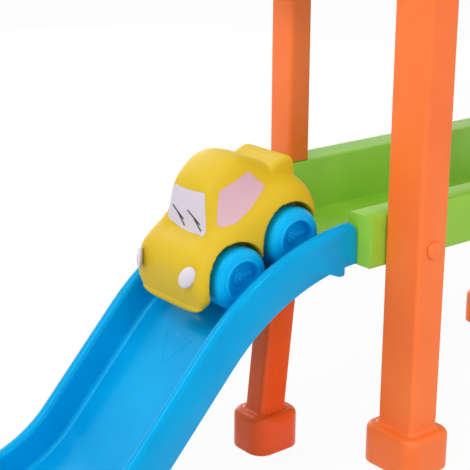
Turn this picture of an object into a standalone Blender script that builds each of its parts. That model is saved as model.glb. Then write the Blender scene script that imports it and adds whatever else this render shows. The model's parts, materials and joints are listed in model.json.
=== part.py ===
"""Toy parking garage: two decks on posts, a curved ramp on a leaning leg, a rack lift and one car.

Metres, +Z up. The shape is laid out in the deck frame: X = 0 where the ramp meets the lower deck, the ramp
falls towards -X, Y = 0 is the middle of the lane and Z = 0 is the top of the lower deck's floor. One empty
then sets the whole garage down with the middle of its foot print on the origin and the ground at Z = 0.
"""

import math

import bmesh
import bpy
from mathutils import Matrix, Vector

mm = 0.001
gap = 0.3 * mm            # clearance between pieces that seat on each other
over = 2.0 * mm           # how far a cutter runs past what it cuts
weld = 0.001 * mm         # points nearer than this are one
hair = 0.01 * mm          # a full round stops this short, so that no edge has no length

# Lane and decks
lane_half = 35.3 * mm     # half of the clear width between the walls
deck_height = 116 * mm    # top of the lower deck above the ground
storey = 140 * mm         # lower deck's floor to the roof deck's floor
deck_length = 236 * mm
deck_floor = 2.8 * mm
skin = 2.4 * mm           # wall of every hollow moulding
skirt = 5.1 * mm          # how far the rails reach below the floor's top
near_step = 1.1 * mm      # the near rail stands this far inside the lane
near_thick = 17.0 * mm
near_top = 22.4 * mm
far_thick = 19.4 * mm
far_top = 30.0 * mm
edge_round = 1.6 * mm
rib_thick = 2.0 * mm
rib_count = 4

# Posts
slim_x = 14.9 * mm
slim_inset = 0.7 * mm     # a slim post stands this far inside the wall's faces
slim_from = 21.1 * mm     # deck end to the first slim post
tenon_inset = 2.6 * mm
tenon_long = 9.0 * mm
wide_x = 20.0 * mm
wide_y = 25.0 * mm
wide_from = 10.0 * mm     # deck end to the first wide post
rear_from = 11.0 * mm     # last posts to the deck's other end
post_round = 1.8 * mm
post_crown = 3.0 * mm
wide_above = 5.0 * mm     # a wide post rises this far past the roof rail

# Bell foot
bell_flare = 6.6 * mm
bell_side = 15.5 * mm
bell_shoulder = 6.6 * mm
bell_edge = 0.8 * mm
bell_draft = 0.6 * mm     # the sides draw in this much from the ground to the shoulder

# Post pegs
peg_r = 3.0 * mm
peg_head_r = 5.0 * mm
peg_head = 2.0 * mm
peg_above = 7.6 * mm      # peg's height above the deck floor
peg_tip = 3.0 * mm
tip_share = 0.7           # the peg's end narrows to this
dome_shares = ((0, 1), (0.6, 0.9), (0.9, 0.55), (1, 0))

# Ramp
ramp_wall = 6.7 * mm
ramp_rim = 18.3 * mm      # wall top above the ramp's floor
ramp_below = 4.2 * mm     # wall bottom below the ramp's floor
ramp_floor = 2.6 * mm
ramp_skin = 2.0 * mm
ramp_fillet = 3.0 * mm
ramp_bend = 122.3 * mm    # radius of the ramp floor's upper curve
ramp_lead = 4.7 * mm      # the curve's crown lies this far onto the deck
ramp_steep = math.radians(47.3)
ramp_foot_bend = 80 * mm
ramp_runout = 26 * mm
crown_long = 5.8 * mm     # the walls' top corners at the deck are rounded off this far along
crown_deep = 9.7 * mm     # and this far down
crown_steps = 5
ramp_step = math.radians(3.4)
foot_step = math.radians(5.1)
lug_from = 8.6 * mm
lug_long = 10.0 * mm
lug_deep = 3.9 * mm
lug_round = 1.0 * mm
lug_nose_share = 0.35     # flat part of a lug's lower edge
tongue_half = 22 * mm
tongue_thick = 1.8 * mm
tongue_reach = 9.0 * mm
tongue_back = 5.5 * mm    # the tongue's root along the ramp
tongue_root = 1.9 * mm    # the tongue grows out of the ramp floor this far below its top

# Ramp leg
leg_x = 18.2 * mm
leg_y = 14.0 * mm
leg_foot_from = 25.6 * mm  # deck end to the middle of the leg's foot
leg_lean = math.radians(6.1)
collar_wall = 1.8 * mm
collar_deep = 7.0 * mm
leg_head_gap = 1.3 * mm   # leg's head to the ramp's underside

# Lift
cabin_half_x = 48 * mm
cabin_half_y = 34 * mm
cabin_high = 79 * mm
cabin_wall = 2.4 * mm
cabin_floor = 3.0 * mm
tower_wide = 104 * mm
tower_panel = 3.0 * mm
tower_gap = 6.6 * mm      # cabin wall to tower panel
tower_above = 23 * mm     # tower above the pinion at the top stop
base_thick = 3.0 * mm
base_near = 8 * mm
base_far = 24 * mm
base_ahead = 12 * mm      # the drive-on wedge past the cabin
base_lip = 1.0 * mm       # the wedge's thin edge
rail_apart = 36 * mm      # guide rails either side of the tower's middle
rail_stem = 3.0 * mm
rail_head = 7.0 * mm
rail_head_deep = 2.2 * mm
shoe_wide = 13 * mm
shoe_long = 18 * mm
shoe_low = 23 * mm        # lower shoes above the cabin's underside
slide_gap = 0.4 * mm
tooth_module = 2.0 * mm
pinion_teeth = 10
pressure = math.radians(27)
tooth_tip = 0.85          # tooth height above the pitch line, in modules
tooth_root = 1.15         # tooth depth below it, in modules
backlash = 0.5 * mm
flank_shares = (0, 0.35, 0.7, 1)
root_spread = math.radians(1.2)
rack_back = 5.0 * mm
spare_teeth_count = 2            # teeth past the pinion at each stop
rack_end = 1.0 * mm
rack_thick = 5.2 * mm
shaft_r = 3.0 * mm
shaft_above = 9.0 * mm    # shaft above the cabin's roof
bearing_x = 13 * mm
bearing_y = 6 * mm
bearing_round = 5.8 * mm
bearing_cap = 4.0 * mm    # bearing block above the shaft's bore
knob_r = 17 * mm
knob_thick = 9 * mm
knob_lobes = 8
knob_lobe = 1.6 * mm
lobe_points = 6
cap_high = 7 * mm
cap_lip = 3 * mm
cap_round = 3.1 * mm
window_wide = 54 * mm
window_low = 26 * mm      # sill above the cabin's underside
window_high = 46 * mm
window_round = 7.5 * mm

# Car, measured along its own length from the middle of its wheelbase and up from its axles
car_nose = 47.5 * mm
car_tail = 41.5 * mm
car_half = 28.8 * mm
car_roof = 54.5 * mm
car_sill = 6.5 * mm
car_slope_front = math.radians(30.6)  # ramp angle under the front wheels
wheel_r = 16.2 * mm
wheel_wide = 14.2 * mm
wheel_outer = 30.0 * mm   # wheel's outer face from the car's middle
wheel_round = 4.4 * mm
wheel_heel = 1.8 * mm     # rounding at the wheel's inner face
hub_r = 9.8 * mm
hub_deep = 4.4 * mm
hub_lip = 0.9 * mm
hub_dot_r = 1.5 * mm
hub_dot = 1.2 * mm
axle_r = 1.6 * mm
axle_cover = 1.6 * mm     # wheel left over the axle's blind end
wheelbase_half = 18.9 * mm
arch_r = 18.3 * mm
arch_ahead = 1.3 * mm     # the arches stand this far ahead of their axles
arch_up = 1.8 * mm
well_gap = 0.8 * mm       # wheel's inner face to the wall of its well
chassis_thick = 2.4 * mm
chassis_half = 12.6 * mm
chassis_long = 33 * mm
axle_block = 9 * mm
wing_half = 17.5 * mm
wing_root = 24 * mm       # where the tail wing leaves the roof, behind the car's middle
wing_end = 41 * mm
wing_low = 26 * mm
wing_high = 35.5 * mm
wing_round = 2.0 * mm
lamp_x = 40.4 * mm
lamp_y = 18.8 * mm
lamp_z = 15.0 * mm
lamp_deep = 3.2 * mm
lamp_wide = 4.5 * mm
lamp_tall = 5.6 * mm
lamp_turn = math.radians(38)

for old in list(bpy.data.objects):
    bpy.data.objects.remove(old, do_unlink=True)

scene = bpy.context.scene
scene.unit_settings.system = "METRIC"
scene.unit_settings.scale_length = 1.0
garage = bpy.data.collections.new("toy_parking_garage")
cutters = bpy.data.collections.new("cutters")
scene.collection.children.link(garage)
scene.collection.children.link(cutters)


def finish(name, colour, roughness=0.35, metallic=0.0):
    """A plain Principled material from an sRGB hex colour."""
    parts = [int(colour[i:i + 2], 16) / 255 for i in (1, 3, 5)]
    linear = [c / 12.92 if c <= 0.04045 else ((c + 0.055) / 1.055) ** 2.4 for c in parts]
    material = bpy.data.materials.new(name)
    material.use_nodes = True
    shader = material.node_tree.nodes["Principled BSDF"]
    shader.inputs["Base Color"].default_value = (*linear, 1)
    shader.inputs["Roughness"].default_value = roughness
    shader.inputs["Metallic"].default_value = metallic
    material.diffuse_color = (*linear, 1)
    return material


green = finish("deck_green", "#8CC63A")
orange = finish("post_orange", "#F4702D")
blue = finish("ramp_blue", "#02A7E4", 0.3)
yellow = finish("car_yellow", "#F0CE30", 0.4)
wheel_blue = finish("wheel_blue", "#1494DC", 0.3)
lilac = finish("lamp_white", "#E6E0EC", 0.25)
steel = finish("axle_steel", "#B9BCC2", 0.3, 1.0)

# Where the ramp, the lift and the foot print end, in the deck frame
ground = -deck_height
bend_centre = Vector((ramp_lead, 0, -ramp_bend))
ramp_start = math.asin((ramp_lead + gap) / ramp_bend)
ramp_drop = deck_height - ramp_below
ramp_straight = (ramp_drop - (ramp_bend + ramp_foot_bend) * (1 - math.cos(ramp_steep))) / math.sin(ramp_steep)
ramp_toe = (ramp_lead - (ramp_bend + ramp_foot_bend) * math.sin(ramp_steep)
            - ramp_straight * math.cos(ramp_steep) - ramp_runout)
lane_out = lane_half + ramp_wall
near_in = -lane_half + near_step
near_out = near_in - near_thick
far_out = lane_half + far_thick
post_near = near_out - gap - wide_y
tower_from = deck_length + gap
tower_mid = tower_from + tower_wide / 2
cabin_out = cabin_half_y + cabin_wall
tower_face = cabin_out + tower_gap
base_from = tower_from
base_to = tower_mid + cabin_half_x + base_ahead
base_back = far_out + base_far
foot_near = post_near - bell_flare
middle_x = (ramp_toe + base_to) / 2
middle_y = (foot_near + base_back) / 2


def empty(name, place=(0, 0, 0), parent=None, turn=0.0):
    """An empty that carries pieces; turn is about Y."""
    obj = bpy.data.objects.new(name, None)
    garage.objects.link(obj)
    obj.parent = parent
    obj.location = place
    obj.rotation_euler = (0, turn, 0)
    return obj


frame = empty("garage_frame", (-middle_x, -middle_y, deck_height))


def piece(name, bm, material, parent=frame, place=(0, 0, 0), turn=(0, 0, 0), smooth=30):
    """Makes a named object of a bmesh; a cutter is one with no material."""
    bmesh.ops.recalc_face_normals(bm, faces=bm.faces)
    mesh = bpy.data.meshes.new(name)
    bm.to_mesh(mesh)
    bm.free()
    obj = bpy.data.objects.new(name, mesh)
    obj.parent = parent
    obj.location = place
    obj.rotation_euler = turn
    if material is None:
        cutters.objects.link(obj)
        obj.hide_render = True
        obj.display_type = "WIRE"
    else:
        garage.objects.link(obj)
        mesh.materials.append(material)
        mesh.shade_smooth()
        mesh.set_sharp_from_angle(angle=math.radians(smooth))
    return obj


def boolean(obj, tool, operation):
    step = obj.modifiers.new(tool.name, "BOOLEAN")
    step.operation = operation
    step.solver = "EXACT"
    step.object = tool


def cut(obj, *tools):
    for tool in tools:
        boolean(obj, tool, "DIFFERENCE")


def join(obj, *tools):
    for tool in tools:
        boolean(obj, tool, "UNION")


def box_mesh(low, high):
    bm = bmesh.new()
    low, high = Vector(low), Vector(high)
    bmesh.ops.create_cube(bm, size=1)
    bmesh.ops.scale(bm, vec=high - low, verts=bm.verts)
    bmesh.ops.translate(bm, vec=(low + high) / 2, verts=bm.verts)
    return bm


def box(name, low, high, material=None, parent=frame, **place):
    return piece(name, box_mesh(low, high), material, parent, **place)


def rounded(points, radius, steps=3):
    """An outline with its corners rounded; a corner given as (a, b, r) has its own radius."""
    out = []
    count = len(points)
    for i, corner in enumerate(points):
        here = Vector(corner[:2])
        r = corner[2] if len(corner) > 2 else radius
        back = (Vector(points[i - 1][:2]) - here).normalized()
        ahead = (Vector(points[(i + 1) % count][:2]) - here).normalized()
        half = back.angle(ahead) / 2
        if r <= 0:
            out.append(here)
            continue
        centre = here + (back + ahead).normalized() * (r / math.sin(half))
        first = here + back * (r / math.tan(half)) - centre
        last = here + ahead * (r / math.tan(half)) - centre
        sweep = first.angle_signed(last)
        for k in range(steps + 1):
            spin = -sweep * k / steps
            turned = Matrix.Rotation(spin, 2) @ first
            out.append(centre + turned)
    return out


def prism(outline, along, start, end):
    """A closed outline pushed along X, Y or Z; its two numbers are the other two axes in order."""
    bm = bmesh.new()
    axis = "XYZ".index(along)
    corners = []
    for a, b in outline:
        corner = [a, b]
        corner.insert(axis, start)
        corners.append(bm.verts.new(corner))
    face = bm.faces.new(corners)
    push = Vector()
    push[axis] = end - start
    moved = bmesh.ops.extrude_face_region(bm, geom=[face])["geom"]
    bmesh.ops.translate(bm, vec=push, verts=[v for v in moved if isinstance(v, bmesh.types.BMVert)])
    return bm


def turned(name, profile, material, parent=frame, steps=20, place=(0, 0, 0), turn=(0, 0, 0)):
    """A profile of (radius, height) points, top to bottom down its outer side, screwed about Z."""
    mesh = bpy.data.meshes.new(name)
    points = [(r, 0, z) for r, z in profile]
    mesh.from_pydata(points, [(i, i + 1) for i in range(len(points) - 1)], [])
    obj = bpy.data.objects.new(name, mesh)
    obj.parent = parent
    obj.location = place
    obj.rotation_euler = turn
    screw = obj.modifiers.new("turn", "SCREW")
    screw.steps = screw.render_steps = steps
    screw.use_merge_vertices = True
    screw.merge_threshold = weld
    if material is None:
        cutters.objects.link(obj)
        obj.hide_render = True
        obj.display_type = "WIRE"
    else:
        garage.objects.link(obj)
        mesh.materials.append(material)
    return obj


def bored(name, radius, low, high, parent=frame, place=(0, 0, 0), turn=(0, 0, 0), steps=20):
    """A round cutter."""
    profile = [(0, high), (radius, high), (radius, low), (0, low)]
    return turned(name, profile, None, parent, steps, place, turn)


across = (math.radians(90), 0, 0)   # turns a piece's Z to -Y


def ring_points(half_x, half_y, radius, steps=3):
    corners = [(half_x, half_y), (-half_x, half_y), (-half_x, -half_y), (half_x, -half_y)]
    return rounded(corners, radius, steps)


def stack(rings):
    """Skins (half_x, half_y, radius, z, shift_x, tilt) rounded rectangles from the bottom up."""
    bm = bmesh.new()
    loops = []
    for half_x, half_y, radius, z, shift, tilt in rings:
        points = ring_points(half_x, half_y, radius)
        loops.append([bm.verts.new((p.x + shift, p.y, z + tilt * p.x)) for p in points])
    count = len(loops[0])
    for low, high in zip(loops, loops[1:]):
        for i in range(count):
            j = (i + 1) % count
            bm.faces.new((low[i], low[j], high[j], high[i]))
    bm.faces.new(loops[0])
    bm.faces.new(loops[-1])
    return bm


def bell_rings(half_x, half_y):
    """The bell foot's rings, from the ground to where it meets the post."""
    grows = [(bell_flare - bell_edge, 0), (bell_flare, bell_edge), (bell_flare - bell_draft, bell_side)]
    round_in = bell_flare - bell_draft
    for angle in (30, 60, 90):
        a = math.radians(angle)
        grows.append((round_in * math.cos(a), bell_side + bell_shoulder * math.sin(a)))
    return [(half_x + g, half_y + g, post_round + g, z, 0, 0) for g, z in grows]


def post(name, x, y, half_x, half_y, bottom, top, bell=False, crown=False):
    """A square moulded post, on a bell foot where it stands on the ground."""
    rings = bell_rings(half_x, half_y) if bell else [(half_x, half_y, post_round, 0, 0, 0)]
    high = top - bottom
    if crown:
        rings.append((half_x, half_y, post_round, high - post_crown, 0, 0))
        drawn = post_crown / 4
        rings.append((half_x - drawn, half_y - drawn, post_round, high - post_crown / 3, 0, 0))
        rings.append((half_x - post_crown, half_y - post_crown, post_round / 2, high, 0, 0))
    else:
        rings.append((half_x, half_y, post_round, high, 0, 0))
    return piece(name, stack(rings), orange, place=(x, y, bottom))


def tenon(host, name, x, low, high):
    """A plug on a slim post's end, which fits inside the hollow wall."""
    join(host, box(name, (x - tenon_x, slim_mid_y - tenon_y, low), (x + tenon_x, slim_mid_y + tenon_y, high)))


def peg_at(name, x, z):
    """A domed peg through a wide post into the rail."""
    long = wide_y + gap + skin + peg_tip
    profile = [(peg_head_r * out, peg_head * up) for out, up in dome_shares]
    profile += [(peg_r, 0), (peg_r, -long + peg_tip / 2), (peg_r * tip_share, -long), (0, -long)]
    return turned(name, profile, orange, steps=16, place=(x, post_near - gap, z), turn=across)


def deck(name, level, wall_top):
    """One storey: lane floor between a hollow far wall and a hollow near rail, ribbed below."""
    low, top = level - skirt, level + near_top
    outline = rounded([(near_out, low, 0), (near_out, top), (near_in, top), (near_in, level, 0),
                       (lane_half, level, 0), (lane_half, level + wall_top), (far_out, level + wall_top),
                       (far_out, low, 0), (lane_half, low, 0), (lane_half, level - deck_floor, 0),
                       (near_in, level - deck_floor, 0), (near_in, low, 0)], edge_round, 2)
    body = piece(name, prism(outline, "X", 0, deck_length), green)
    near_hollow = box(name + "_near_hollow", (skin, near_out + skin, low - over),
                      (deck_length - skin, near_in - skin, top - skin))
    far_hollow = box(name + "_far_hollow", (skin, lane_half + skin, low - over),
                     (deck_length - skin, far_out - skin, level + wall_top - skin))
    for i in range(rib_count + 1):
        x = (deck_length - rib_thick) * i / rib_count
        join(body, box(f"{name}_rib_{i}", (x, near_in - skin / 2, low),
                       (x + rib_thick, lane_half + skin / 2, level - deck_floor / 2)))
    cut(body, near_hollow, far_hollow)
    return body


def peg_holes(body, name, places, level):
    for i, x in enumerate(places):
        cut(body, bored(f"{name}_hole_{i}", peg_r + gap, -over, skin + over + gap,
                        place=(x, near_out, level + peg_above), turn=(-across[0], 0, 0)))


slim_y = far_thick - 2 * slim_inset
slim_mid_y = lane_half + far_thick / 2
front_slim = slim_from + slim_x / 2
rear_slim = deck_length - rear_from - slim_x / 2
front_wide = wide_from + wide_x / 2
rear_wide = deck_length - rear_from - wide_x / 2
wide_mid_y = post_near + wide_y / 2
tenon_x = slim_x / 2 - tenon_inset
tenon_y = slim_y / 2 - tenon_inset - skin
tongue_top = -deck_floor - gap


def make_decks():
    lower = deck("lower_deck", 0, far_top)
    roof = deck("roof_deck", storey, near_top)
    for body, name, level in ((lower, "lower", 0), (roof, "roof", storey)):
        peg_holes(body, name, (front_wide, rear_wide), level)
    for i, x in enumerate((front_slim, rear_slim)):
        half_x, half_y = tenon_x + gap, tenon_y + gap
        socket = box(f"wall_socket_{i}", (x - half_x, slim_mid_y - half_y, far_top - skin - over),
                     (x + half_x, slim_mid_y + half_y, far_top + over))
        cut(lower, socket)
    notch = box("tongue_notch", (-over, -tongue_half - gap, tongue_top - tongue_thick - gap),
                (rib_thick + over, tongue_half + gap, gap - deck_floor))
    cut(lower, notch)


def make_posts():
    """Two slim posts on the lower deck's far wall, one below it at the back, and two wide posts outside."""
    under_roof = storey - skirt - gap
    for name, x in (("front_slim_post", front_slim), ("rear_slim_post", rear_slim)):
        body = post(name, x, slim_mid_y, slim_x / 2, slim_y / 2, far_top + gap, under_roof)
        tenon(body, name + "_foot", x, far_top - tenon_long, far_top + over)
        tenon(body, name + "_head", x, under_roof - over, under_roof + tenon_long)
    under_wall = -skirt - gap
    leg = post("rear_wall_leg", rear_slim, slim_mid_y, slim_x / 2, slim_y / 2, ground, under_wall, bell=True)
    tenon(leg, "rear_wall_leg_head", rear_slim, under_wall - over, tenon_long)
    for name, x in (("front_wide_post", front_wide), ("rear_wide_post", rear_wide)):
        top = storey + near_top + wide_above
        body = post(name, x, wide_mid_y, wide_x / 2, wide_y / 2, ground, top, bell=True, crown=True)
        for level_name, level in (("lower", 0), ("roof", storey)):
            z = level + peg_above
            cut(body, bored(f"{name}_{level_name}_bore", peg_r + gap, -over, wide_y + over,
                            place=(x, post_near, z), turn=(-across[0], 0, 0)))
            peg_at(f"{name.replace('post', 'peg')}_{level_name}", x, z)


def sweep(name, outline, material):
    """A cross-section carried round the upper curve, down the straight, round the foot curve and out flat."""
    bm = bmesh.new()
    face = bm.faces.new([bm.verts.new((ramp_lead, a, b)) for a, b in outline])
    spin_up = Matrix.Rotation(-ramp_start, 3, "Y")
    bmesh.ops.rotate(bm, cent=bend_centre, matrix=spin_up, verts=bm.verts)
    geom = [face, *face.edges, *face.verts]
    down = Vector((-math.cos(ramp_steep), 0, -math.sin(ramp_steep)))
    normal = Vector((-math.sin(ramp_steep), 0, math.cos(ramp_steep)))
    bend = ramp_steep - ramp_start
    steps = math.ceil(bend / ramp_step)
    geom = spun(bm, geom, bend_centre, -1, bend, steps)
    geom = pushed(bm, geom, down * ramp_straight)
    foot_centre = (bend_centre + normal * (ramp_bend + ramp_foot_bend) + down * ramp_straight)
    steps = math.ceil(ramp_steep / foot_step)
    geom = spun(bm, geom, foot_centre, 1, ramp_steep, steps)
    pushed(bm, geom, Vector((-ramp_runout, 0, 0)))
    bmesh.ops.remove_doubles(bm, verts=bm.verts, dist=weld)
    return piece(name, bm, material, smooth=25)


def spun(bm, geom, centre, sign, angle, steps):
    """Turns the end of a swept solid about a line along Y and gives the new end."""
    swept = bmesh.ops.spin(bm, geom=geom, cent=centre, axis=(0, sign, 0), angle=angle, steps=steps)
    return swept["geom_last"]


def pushed(bm, geom, vector):
    """Extrudes the end of a swept solid along a vector and gives the new end."""
    geom = bmesh.ops.extrude_face_region(bm, geom=geom)["geom"]
    bmesh.ops.translate(bm, vec=vector, verts=[g for g in geom if isinstance(g, bmesh.types.BMVert)])
    return geom


def ramp_line(height):
    """A hollow's side line at a height above the ramp's floor, from inside its top end to inside its toe."""
    foot_angle = math.radians(90) - ramp_steep
    down = Vector((-math.cos(ramp_steep), 0, -math.sin(ramp_steep)))
    normal = Vector((-math.sin(ramp_steep), 0, math.cos(ramp_steep)))
    foot_centre = bend_centre + normal * (ramp_bend + ramp_foot_bend) + down * ramp_straight
    first = ramp_start + (crown_long + ramp_skin) / ramp_bend
    points = []
    steps = math.ceil((ramp_steep - first) / ramp_step)
    for k in range(steps + 1):
        a = first + (ramp_steep - first) * k / steps
        reach = ramp_bend + height
        points.append((bend_centre.x - reach * math.sin(a), bend_centre.z + reach * math.cos(a)))
    steps = math.ceil(ramp_steep / foot_step)
    for k in range(steps + 1):
        a = foot_angle + ramp_steep * k / steps
        reach = ramp_foot_bend - height
        points.append((foot_centre.x + reach * math.cos(a), foot_centre.z - reach * math.sin(a)))
    points.append((ramp_toe + ramp_skin, points[-1][1]))
    return points


def make_ramp():
    """The trough with folded, round-topped walls, its lugs, and the tongue that hooks under the deck."""
    rim_round = ramp_wall / 2 - hair
    outline = rounded([(lane_out, -ramp_below, 0), (lane_out, ramp_rim), (lane_half, ramp_rim),
                       (lane_half, 0, ramp_fillet), (-lane_half, 0, ramp_fillet), (-lane_half, ramp_rim),
                       (-lane_out, ramp_rim), (-lane_out, -ramp_below, 0), (-lane_half, -ramp_below, 0),
                       (-lane_half, -ramp_floor, 0), (lane_half, -ramp_floor, 0),
                       (lane_half, -ramp_below, 0)],
                      rim_round, 4)
    ramp = sweep("ramp", outline, blue)
    hollow = ramp_line(ramp_rim - ramp_skin) + ramp_line(-ramp_below - over)[::-1]
    corner_x = -gap - crown_long
    corner = [(corner_x + crown_long * math.sin(a), ramp_rim - crown_deep * (1 - math.cos(a)))
              for a in (math.radians(90) * k / crown_steps for k in range(crown_steps + 1))]
    crown = corner + [(over, ramp_rim - crown_deep), (over, ramp_rim + over), (corner_x, ramp_rim + over)]
    for side, name in ((1, "far"), (-1, "near")):
        inner, outer = sorted((side * (lane_half + ramp_skin), side * (lane_out - ramp_skin)))
        cut(ramp, piece(f"ramp_{name}_hollow", prism(hollow, "Y", inner, outer), None))
        inner, outer = sorted((side * (lane_half - over), side * (lane_out + over)))
        cut(ramp, piece(f"ramp_{name}_crown", prism(crown, "Y", inner, outer), None))
    lug_low = -ramp_below - lug_deep - ramp_floor / 2
    lug_end = -lug_from - lug_long
    lug = rounded([(-lug_from, -ramp_floor), (-lug_from, lug_low, lug_round),
                   (-lug_from - lug_long * lug_nose_share, lug_low, lug_round),
                   (lug_end, -ramp_below - ramp_floor), (lug_end, -ramp_floor)], 0, 2)
    for side, name in ((1, "far"), (-1, "near")):
        solid = prism(lug, "Y", side * (lane_out - ramp_skin), side * lane_out)
        join(ramp, piece(f"{name}_lug", solid, None))
    tongue_low = tongue_top - tongue_thick
    tongue = [(-tongue_back, -tongue_root), (-gap, -tongue_root), (-gap, tongue_top),
              (tongue_reach, tongue_top), (tongue_reach, tongue_low), (-tongue_back, tongue_low)]
    join(ramp, piece("ramp_tongue", prism(tongue, "Y", -tongue_half, tongue_half), None))
    return ramp


def leg_axis_x(z):
    """Middle of the leaning leg at height z."""
    return -leg_foot_from + (z - ground - bell_side - bell_shoulder) * math.tan(leg_lean)


def make_ramp_leg(ramp):
    """The leaning leg on its bell foot, its head in a collar under the ramp."""
    head_x = leg_axis_x(-ramp_floor)
    head_angle = math.asin((ramp_lead - head_x) / ramp_bend)
    under_z = bend_centre.z + (ramp_bend - ramp_floor) * math.cos(head_angle)
    slope = math.tan(head_angle)

    def sleeve(name, grow, low, high):
        """A cutter or a collar that follows the leaning leg up to the ramp's slope."""
        half_x, half_y = leg_x / 2 + grow, leg_y / 2 + grow
        radius = post_round + grow
        rings = [(half_x, half_y, radius, low, leg_axis_x(low), 0),
                 (half_x, half_y, radius, high, leg_axis_x(high), slope)]
        return piece(name, stack(rings), None)

    head_z = under_z - leg_head_gap
    rings = bell_rings(leg_x / 2, leg_y / 2)
    leaned = leg_axis_x(head_z) + leg_foot_from
    rings.append((leg_x / 2, leg_y / 2, post_round, head_z - ground, leaned, slope))
    piece("ramp_leg", stack(rings), orange, place=(-leg_foot_from, 0, ground))
    collar_low = under_z - collar_deep
    collar = sleeve("leg_collar", gap + collar_wall, collar_low, under_z + ramp_floor / 2)
    cut(collar, sleeve("leg_socket", gap, collar_low - over, under_z + ramp_floor))
    join(ramp, collar)


def tooth_outline(count):
    """A spur gear's outline: involute flanks from the base circle, drawn in for backlash."""
    pitch_r = tooth_module * count / 2
    base_r = pitch_r * math.cos(pressure)
    tip_r = pitch_r + tooth_tip * tooth_module
    root_r = pitch_r - tooth_root * tooth_module
    half_pitch = math.pi / (2 * count) - backlash / (2 * pitch_r)
    involute = math.tan(pressure) - pressure
    points = []
    for tooth in range(count):
        middle = 2 * math.pi * tooth / count
        flank = []
        for share in flank_shares:
            r = base_r + (tip_r - base_r) * share
            at = math.acos(min(1, base_r / r))
            flank.append((r, half_pitch + involute - (math.tan(at) - at)))
        flank.insert(0, (root_r, flank[0][1] + root_spread))
        left = [(r, middle - a) for r, a in flank]
        right = [(r, middle + a) for r, a in reversed(flank)]
        points += [Vector((r * math.cos(a), r * math.sin(a))) for r, a in left + right]
    return points


rail_out = tower_gap - 2 * slide_gap   # the guide rails' reach from the tower's face
pinion_r = tooth_module * pinion_teeth / 2
pitch = math.pi * tooth_module
cabin_start = ground + base_thick + gap
travel = storey + deck_height - base_thick - gap - cabin_floor
shaft_z = cabin_floor + cabin_high + cabin_wall + shaft_above
tower_top = cabin_start + travel + shaft_z + tower_above
rack_x = tower_mid - pinion_r


def make_rack():
    """A straight rack whose teeth are set to mesh with the pinion at rest."""
    low = cabin_start + shaft_z - (spare_teeth_count + 0.5) * pitch
    count = math.ceil(travel / pitch) + 2 * spare_teeth_count
    half = pitch / 4 - backlash / 2
    tip, root = tooth_tip * tooth_module, tooth_root * tooth_module
    rise = math.tan(pressure)
    outline = []
    for i in range(count):
        z = low + pitch * (i + 0.5) - pitch / 2
        outline += [(rack_x - root, z - half - root * rise), (rack_x + tip, z - half + tip * rise),
                    (rack_x + tip, z + half - tip * rise), (rack_x - root, z + half + root * rise)]
    back = rack_x - root - rack_back
    outline = [(back, outline[0][1] - rack_end)] + [(rack_x - root, outline[0][1] - rack_end)] + outline
    outline += [(rack_x - root, outline[-1][1] + rack_end), (back, outline[-1][1] + rack_end)]
    face = tower_face - gap
    piece("lift_rack", prism(outline, "Y", face - rack_thick, face), yellow)


def tee_outline(x, root, front, grow):
    """A T rail's section at x, from its root to its front, or its slot's when grown by the running gap."""
    stem, head = rail_stem / 2 + grow, rail_head / 2 + grow
    shoulder = front + rail_head_deep + grow
    front = front - grow
    return [(x - stem, root), (x - stem, shoulder), (x - head, shoulder), (x - head, front),
            (x + head, front), (x + head, shoulder), (x + stem, shoulder), (x + stem, root)]


def make_tower():
    """The lift's base plate and its channel-shaped tower with two T guide rails."""
    base_top = ground + base_thick
    base_front = -cabin_out - base_near
    base = box("lift_base", (base_from, base_front, ground), (base_to, base_back, base_top), green)
    wedge_from = base_to - base_ahead
    wedge = prism([(wedge_from, base_top + cabin_floor / 2), (base_to, ground + base_lip), (base_to, ground),
                   (wedge_from, ground)], "Y", -cabin_half_y, cabin_half_y)
    join(base, piece("base_wedge", wedge, None))
    low = ground + base_thick + gap
    x0, x1 = tower_from, tower_from + tower_wide
    y0, y1 = tower_face, tower_face + tower_panel
    outline = [(x0, y0), (x1, y0), (x1, far_out), (x1 - tower_panel, far_out), (x1 - tower_panel, y1),
               (x0 + tower_panel, y1), (x0 + tower_panel, far_out), (x0, far_out)]
    tower = piece("lift_tower", prism(outline, "Z", low, tower_top), orange)
    for side in (-1, 1):
        x = tower_mid + side * rail_apart
        tee = tee_outline(x, y0 + tower_panel / 2, y0 - rail_out, 0)
        join(tower, piece(f"guide_rail_{side}", prism(tee, "Z", low, tower_top), None))
    cap_low = tower_top + gap
    cap_from, cap_to = x0 - cap_lip, x1 + cap_lip
    outline = [(cap_from, cap_low, 0), (cap_to, cap_low, 0), (cap_to, cap_low + cap_high),
               (cap_from, cap_low + cap_high)]
    cap = prism(rounded(outline, cap_round, 3), "Y", tower_face - rail_out - cap_lip, far_out + cap_lip)
    piece("lift_cap", cap, blue)


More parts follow.
